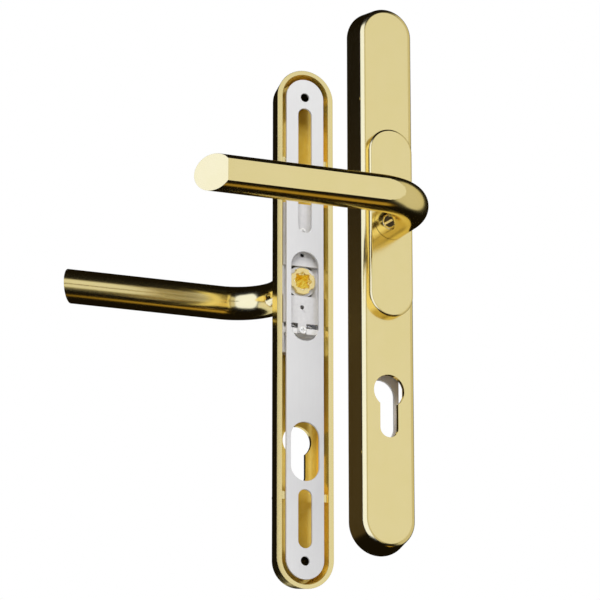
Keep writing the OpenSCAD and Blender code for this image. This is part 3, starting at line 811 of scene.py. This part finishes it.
crown = drum("crown", crown_r, (0, 0, crown_z), crown_t, 96)
for turn in (0, 45):
    socket = block("socket", (-socket_half, -socket_half, 0), (socket_half, socket_half, 2 * crown_z))
    socket.rotation_euler.z = math.radians(turn)
    combine(crown, socket, "DIFFERENCE")
for turn in (45, 135, 225, 315):
    notch = block("notch", (crown_r - notch_t, -notch_half, 0), (2 * crown_r, notch_half, 2 * crown_z))
    notch.rotation_euler.z = math.radians(turn)
    combine(crown, notch, "DIFFERENCE")
ease(crown, crown_ease)
crown.data.materials.append(turned_brass)
hang_pair(crown, "castellated_hub_crown", "hub_crown", "turned_brass", "{}_lever_body")

# Cassettes
# The return mechanism of each lever sits in a tray with a round drum around the hub, three pockets
# and two cross walls that the springs push on. It is die-cast zinc, screwed to the plate's front wall.
cover_front = 5.8 * mm
tray_half = 11.78 * mm
tray_in_half = 10.88 * mm
tray_top = 46 * mm
tray_bottom = -42.5 * mm
tray_end = 1.2 * mm
tray_floor = 11.5 * mm
drum_r = 12.8 * mm
cross_wall_y = 27.4 * mm
cross_wall_t = 3.4 * mm
collar_room_r = 10.7 * mm
screw_y = 29.1 * mm
screw_hole_r = 1.3 * mm
tray_ease = 0.2 * mm

# Die-cast zinc as it leaves the mould: matt warm grey, mottled where the metal chilled.
cast_mottle = 2.5 * mm
cast_grain = 0.5 * mm
cast_zinc, tree = new_material("die cast zinc")
place = add(tree, "TexCoord")
mottle = add(
    tree, "TexNoise", Vector=place.outputs["Object"], Scale=1 / cast_mottle, Detail=5, Roughness=0.6)
grain = add(tree, "TexNoise", Vector=place.outputs["Object"], Scale=1 / cast_grain, Detail=2)
tint = add(tree, "ValToRGB", Fac=mottle.outputs["Fac"])
tint.color_ramp.elements[0].position = noise_low
tint.color_ramp.elements[0].color = linear("#C6C4C1")
tint.color_ramp.elements[1].position = noise_high
tint.color_ramp.elements[1].color = linear("#D2D0CD")
rough = add(
    tree, "MapRange", Value=mottle.outputs["Fac"], From_Min=noise_low, From_Max=noise_high,
    To_Min=0.28, To_Max=0.36)
dents = add(tree, "Bump", Height=grain.outputs["Fac"], Strength=0.15, Distance=0.03 * mm)
shader = add(
    tree, "BsdfPrincipled", Base_Color=tint.outputs[0], Roughness=rough.outputs[0],
    Normal=dents.outputs[0], Metallic=0.1)
add(tree, "OutputMaterial", Surface=shader.outputs[0])

# The tray is the same zinc painted paler, as painted light that lifts the shade the covers and the strip
# cast into its pockets.
lightened_zinc = cast_zinc.copy()
lightened_zinc.name = "die cast zinc painted paler against shade"
lightened_ramp = next(node for node in lightened_zinc.node_tree.nodes if node.type == "VALTORGB")
lightened_ramp.color_ramp.elements[0].color = linear("#E8E7E4")
lightened_ramp.color_ramp.elements[1].color = linear("#F0EFEC")

tray = block("tray", (-tray_half, tray_bottom, cover_front), (tray_half, tray_top, cavity_z))
combine(tray, drum("hub_drum", drum_r, (0, 0, cover_front), cavity_z - cover_front), "UNION")
wall_end = cross_wall_y + cross_wall_t
pockets = (
    (-cross_wall_y, cross_wall_y),
    (wall_end, tray_top - tray_end),
    (tray_bottom + tray_end, -wall_end))
for low, high in pockets:
    pocket = block("pocket", (-tray_in_half, low, 0), (tray_in_half, high, tray_floor))
    combine(tray, pocket, "DIFFERENCE")
combine(tray, drum("collar_room", collar_room_r, (0, 0, cover_front), plate_depth), "DIFFERENCE")
for y in (screw_y, -screw_y):
    combine(tray, drum("screw_hole", screw_hole_r, (0, y, 0), plate_depth, 32), "DIFFERENCE")
ease(tray, tray_ease)
tray.data.materials.append(lightened_zinc)
hang_pair(tray, "cast_cassette", "cassette", "zinc")

# Sliders
# A plate with a long round-ended hole lies across each cassette. The hub's crank pin moves it up and
# down against the springs. It is die-cast zinc and slides between the tray's side walls.
finish_nodes("slider", cast_zinc)

# Return springs
# Two coil springs stand at each end of every slider, between it and the cassette's cross walls, and
# bring the lever back level. They are wound from bright drawn spring wire.
wire_r = 0.4 * mm
wire_sides = 12
coil_r = 2.1 * mm
coil_turns = 4
coil_steps = 28
spring_x = 5.2 * mm
spring_z = 8.65 * mm
spring_low = 15.64 * mm
spring_high = 27.1 * mm
coil_len = spring_high - spring_low - 2 * wire_r

# Drawn wire: a hard grey shine, with fine drawing lines, spaced 0.3 mm apart so that they show.
draw_line = 0.3 * mm
spring_wire, tree = new_material("drawn spring wire")
place = add(tree, "TexCoord")
lines = add(tree, "TexNoise", Vector=place.outputs["Object"], Scale=1 / draw_line, Detail=3)
tint = add(tree, "ValToRGB", Fac=lines.outputs["Fac"])
tint.color_ramp.elements[0].position = noise_low
tint.color_ramp.elements[0].color = linear("#D2D1D0")
tint.color_ramp.elements[1].position = noise_high
tint.color_ramp.elements[1].color = linear("#E6E5E4")
rough = add(
    tree, "MapRange", Value=lines.outputs["Fac"], From_Min=noise_low, From_Max=noise_high,
    To_Min=0.22, To_Max=0.34)
shader = add(tree, "BsdfPrincipled", Base_Color=tint.outputs[0], Roughness=rough.outputs[0], Metallic=0.3)
add(tree, "OutputMaterial", Surface=shader.outputs[0])

for part, end in (("upper", 1), ("lower", -1)):
    bpy.ops.object.select_all(action="DESELECT")
    bpy.ops.mesh.primitive_circle_add(vertices=wire_sides, radius=wire_r, location=(coil_r, wire_r, 0))
    coil = bpy.context.object
    coil.name = "coil"
    bpy.ops.object.transform_apply()
    bpy.ops.object.modifier_add(type="SCREW")
    winding = coil.modifiers[-1]
    winding.axis = "Y"
    winding.screw_offset = coil_len / coil_turns
    winding.iterations = coil_turns
    winding.steps = coil_steps
    winding.render_steps = coil_steps
    bpy.ops.object.modifier_apply(modifier=winding.name)
    bpy.ops.object.mode_set(mode="EDIT")
    bpy.ops.mesh.select_all(action="SELECT")
    bpy.ops.mesh.fill_holes(sides=0)
    bpy.ops.mesh.select_all(action="SELECT")
    bpy.ops.mesh.normals_make_consistent(inside=False)
    bpy.ops.mesh.select_all(action="SELECT")
    bpy.ops.transform.translate(value=(-spring_x, spring_low if end > 0 else -spring_high, spring_z))
    bpy.ops.mesh.duplicate_move(TRANSFORM_OT_translate={"value": (2 * spring_x, 0, 0)})
    bpy.ops.object.mode_set(mode="OBJECT")
    coil.data.materials.append(spring_wire)
    pair = hang_pair(coil, f"wound_{part}_springs", f"{part}_springs", "spring_steel", None)
    for side, made in zip(("outside", "inside"), pair):
        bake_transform(made)

# Covers
# Two flat covers close each cassette above and below the hub and keep the springs in. They are
# die-cast zinc, each with a small sight hole and a screw, and the lower one ends in a tongue.
cover_back = 4.6 * mm
cover_edge = 8.8 * mm
lower_cover_end = 25 * mm
tongue_half = 2.6 * mm
sight_y = 15.4 * mm
sight_r = 1.2 * mm
cover_ease = 0.15 * mm

upper_cover = block("upper_cover", (-tray_half, cover_edge, cover_back), (tray_half, tray_top, cover_front))
lower_cover = block(
    "lower_cover", (-tray_half, -lower_cover_end, cover_back), (tray_half, -cover_edge, cover_front))
tongue_top = -cover_edge - cut_over
tongue = block("tongue", (-tongue_half, -wall_end, cover_back), (tongue_half, tongue_top, cover_front))
combine(lower_cover, tongue, "UNION")
for part, cover, end in (("upper", upper_cover, 1), ("lower", lower_cover, -1)):
    combine(cover, drum("sight_hole", sight_r, (0, end * sight_y, 0), plate_depth, 32), "DIFFERENCE")
    combine(cover, drum("screw_hole", screw_hole_r, (0, end * screw_y, 0), plate_depth, 32), "DIFFERENCE")
    ease(cover, cover_ease)
    cover.data.materials.append(cast_zinc)
    hang_pair(cover, f"cast_{part}_cover", f"{part}_cover", "zinc")

# Cover screws
# One screw holds each cover and the cassette to the plate's front wall. It is zinc plated steel with
# a domed head and a cross recess.
screw_head_r = 2.3 * mm
screw_head_t = 1.2 * mm
screw_r = 1.25 * mm
screw_end = 14 * mm
head_dome = 0.6 * mm
recess_half_len = 1.35 * mm
recess_half_w = 0.33 * mm
recess_t = 0.7 * mm
head_z = cover_back - screw_head_t

screw = drum("screw", screw_head_r, (0, screw_y, head_z), screw_head_t, 48)
bpy.ops.object.mode_set(mode="EDIT")
pick(screw, "EDGE", lambda e: all(near(v.co.z, head_z) for v in e.verts))
bpy.ops.mesh.bevel(offset=head_dome, segments=5, affect="EDGES", clamp_overlap=False)
pick(screw, "FACE", lambda face: near(middle(face).z, cover_back) and face.normal.z > facing)
bpy.ops.mesh.inset(thickness=screw_head_r - screw_r, depth=0)
bpy.ops.mesh.extrude_region_move(TRANSFORM_OT_translate={"value": (0, 0, screw_end - cover_back)})
bpy.ops.object.mode_set(mode="OBJECT")
for half_x, half_y in ((recess_half_len, recess_half_w), (recess_half_w, recess_half_len)):
    recess = block("recess", (-half_x, screw_y - half_y, 0), (half_x, screw_y + half_y, head_z + recess_t))
    combine(screw, recess, "DIFFERENCE")
bpy.ops.object.mode_set(mode="EDIT")
bpy.ops.mesh.select_all(action="SELECT")
bpy.ops.mesh.duplicate_move(TRANSFORM_OT_translate={"value": (0, -2 * screw_y, 0)})
bpy.ops.object.mode_set(mode="OBJECT")
screw.data.materials.append(bright_zinc)
hang_pair(screw, "domed_cover_screws", "cover_screws", "steel")

# Strip plates
# A long strip with round ends closes each hollow on the door side and rests on the pads. It is stamped
# from zinc plated sheet steel, with two bolt holes, two slots, a window and the cylinder's opening.
strip_w = 22.8 * mm
strip_t = 1.5 * mm
strip_back = strip_front - strip_t
strip_top = 120.1 * mm
strip_bottom = -173.1 * mm
bolt_hole_r = 2.65 * mm
bolt_places = (109.3 * mm, -162.7 * mm)
slot_w = 8.4 * mm
window_w = 16.9 * mm
opening_w = 17.2 * mm
upper_slot = (27.7 * mm, 102.7 * mm)
lower_slot = (-155.5 * mm, -122 * mm)
window = (-36.1 * mm, 16.5 * mm)
opening = (-117.25 * mm, -83.25 * mm)
strip_cuts = ((slot_w, upper_slot), (slot_w, lower_slot), (window_w, window), (opening_w, opening))
strip_ease = 0.12 * mm

# Zinc plated sheet: an even pale grey with a soft sheen and the faint grain of rolling along the strip,
# drawn 0.7 mm apart because the real grain is too fine to show.
roll_grain = 0.7 * mm
roll_stretch = 0.05
sheet_cloud = 14 * mm
sheet_steel, tree = new_material("zinc plated sheet steel")
place = add(tree, "TexCoord")
along = add(tree, "Mapping", Vector=place.outputs["Object"], Scale=(1, 1, roll_stretch))
rolled = add(tree, "TexNoise", Vector=along.outputs[0], Scale=1 / roll_grain, Detail=3)
clouds = add(tree, "TexNoise", Vector=place.outputs["Object"], Scale=1 / sheet_cloud, Detail=4)
mixed = add(
    tree, "Mix", {"data_type": "FLOAT"}, Factor=0.5,
    A=clouds.outputs["Fac"], B=rolled.outputs["Fac"])
tint = add(tree, "ValToRGB", Fac=mixed.outputs[0])
tint.color_ramp.elements[0].position = noise_low
tint.color_ramp.elements[0].color = linear("#C5C4C2")
tint.color_ramp.elements[1].position = noise_high
tint.color_ramp.elements[1].color = linear("#C9C8C6")
rough = add(
    tree, "MapRange", Value=mixed.outputs[0], From_Min=noise_low, From_Max=noise_high,
    To_Min=0.32, To_Max=0.4)
dents = add(tree, "Bump", Height=rolled.outputs["Fac"], Strength=0.06, Distance=0.03 * mm)
shader = add(
    tree, "BsdfPrincipled", Base_Color=tint.outputs[0], Roughness=rough.outputs[0],
    Normal=dents.outputs[0], Metallic=0.08)
add(tree, "OutputMaterial", Surface=shader.outputs[0])

strip = raise_face(outline("strip", strip_w, strip_bottom, strip_top, strip_back), strip_t)
for width, (low, high) in strip_cuts:
    cutter = raise_face(outline("cutter", width, low, high, strip_back - cut_over), strip_t + 2 * cut_over)
    combine(strip, cutter, "DIFFERENCE")
for y in bolt_places:
    combine(strip, drum("bolt_hole", bolt_hole_r, (0, y, -cut_over), plate_depth, 64), "DIFFERENCE")
ease(strip, strip_ease)
strip.data.materials.append(sheet_steel)
hang_pair(strip, "stamped_strip_plate", "strip_plate", "strip_steel")
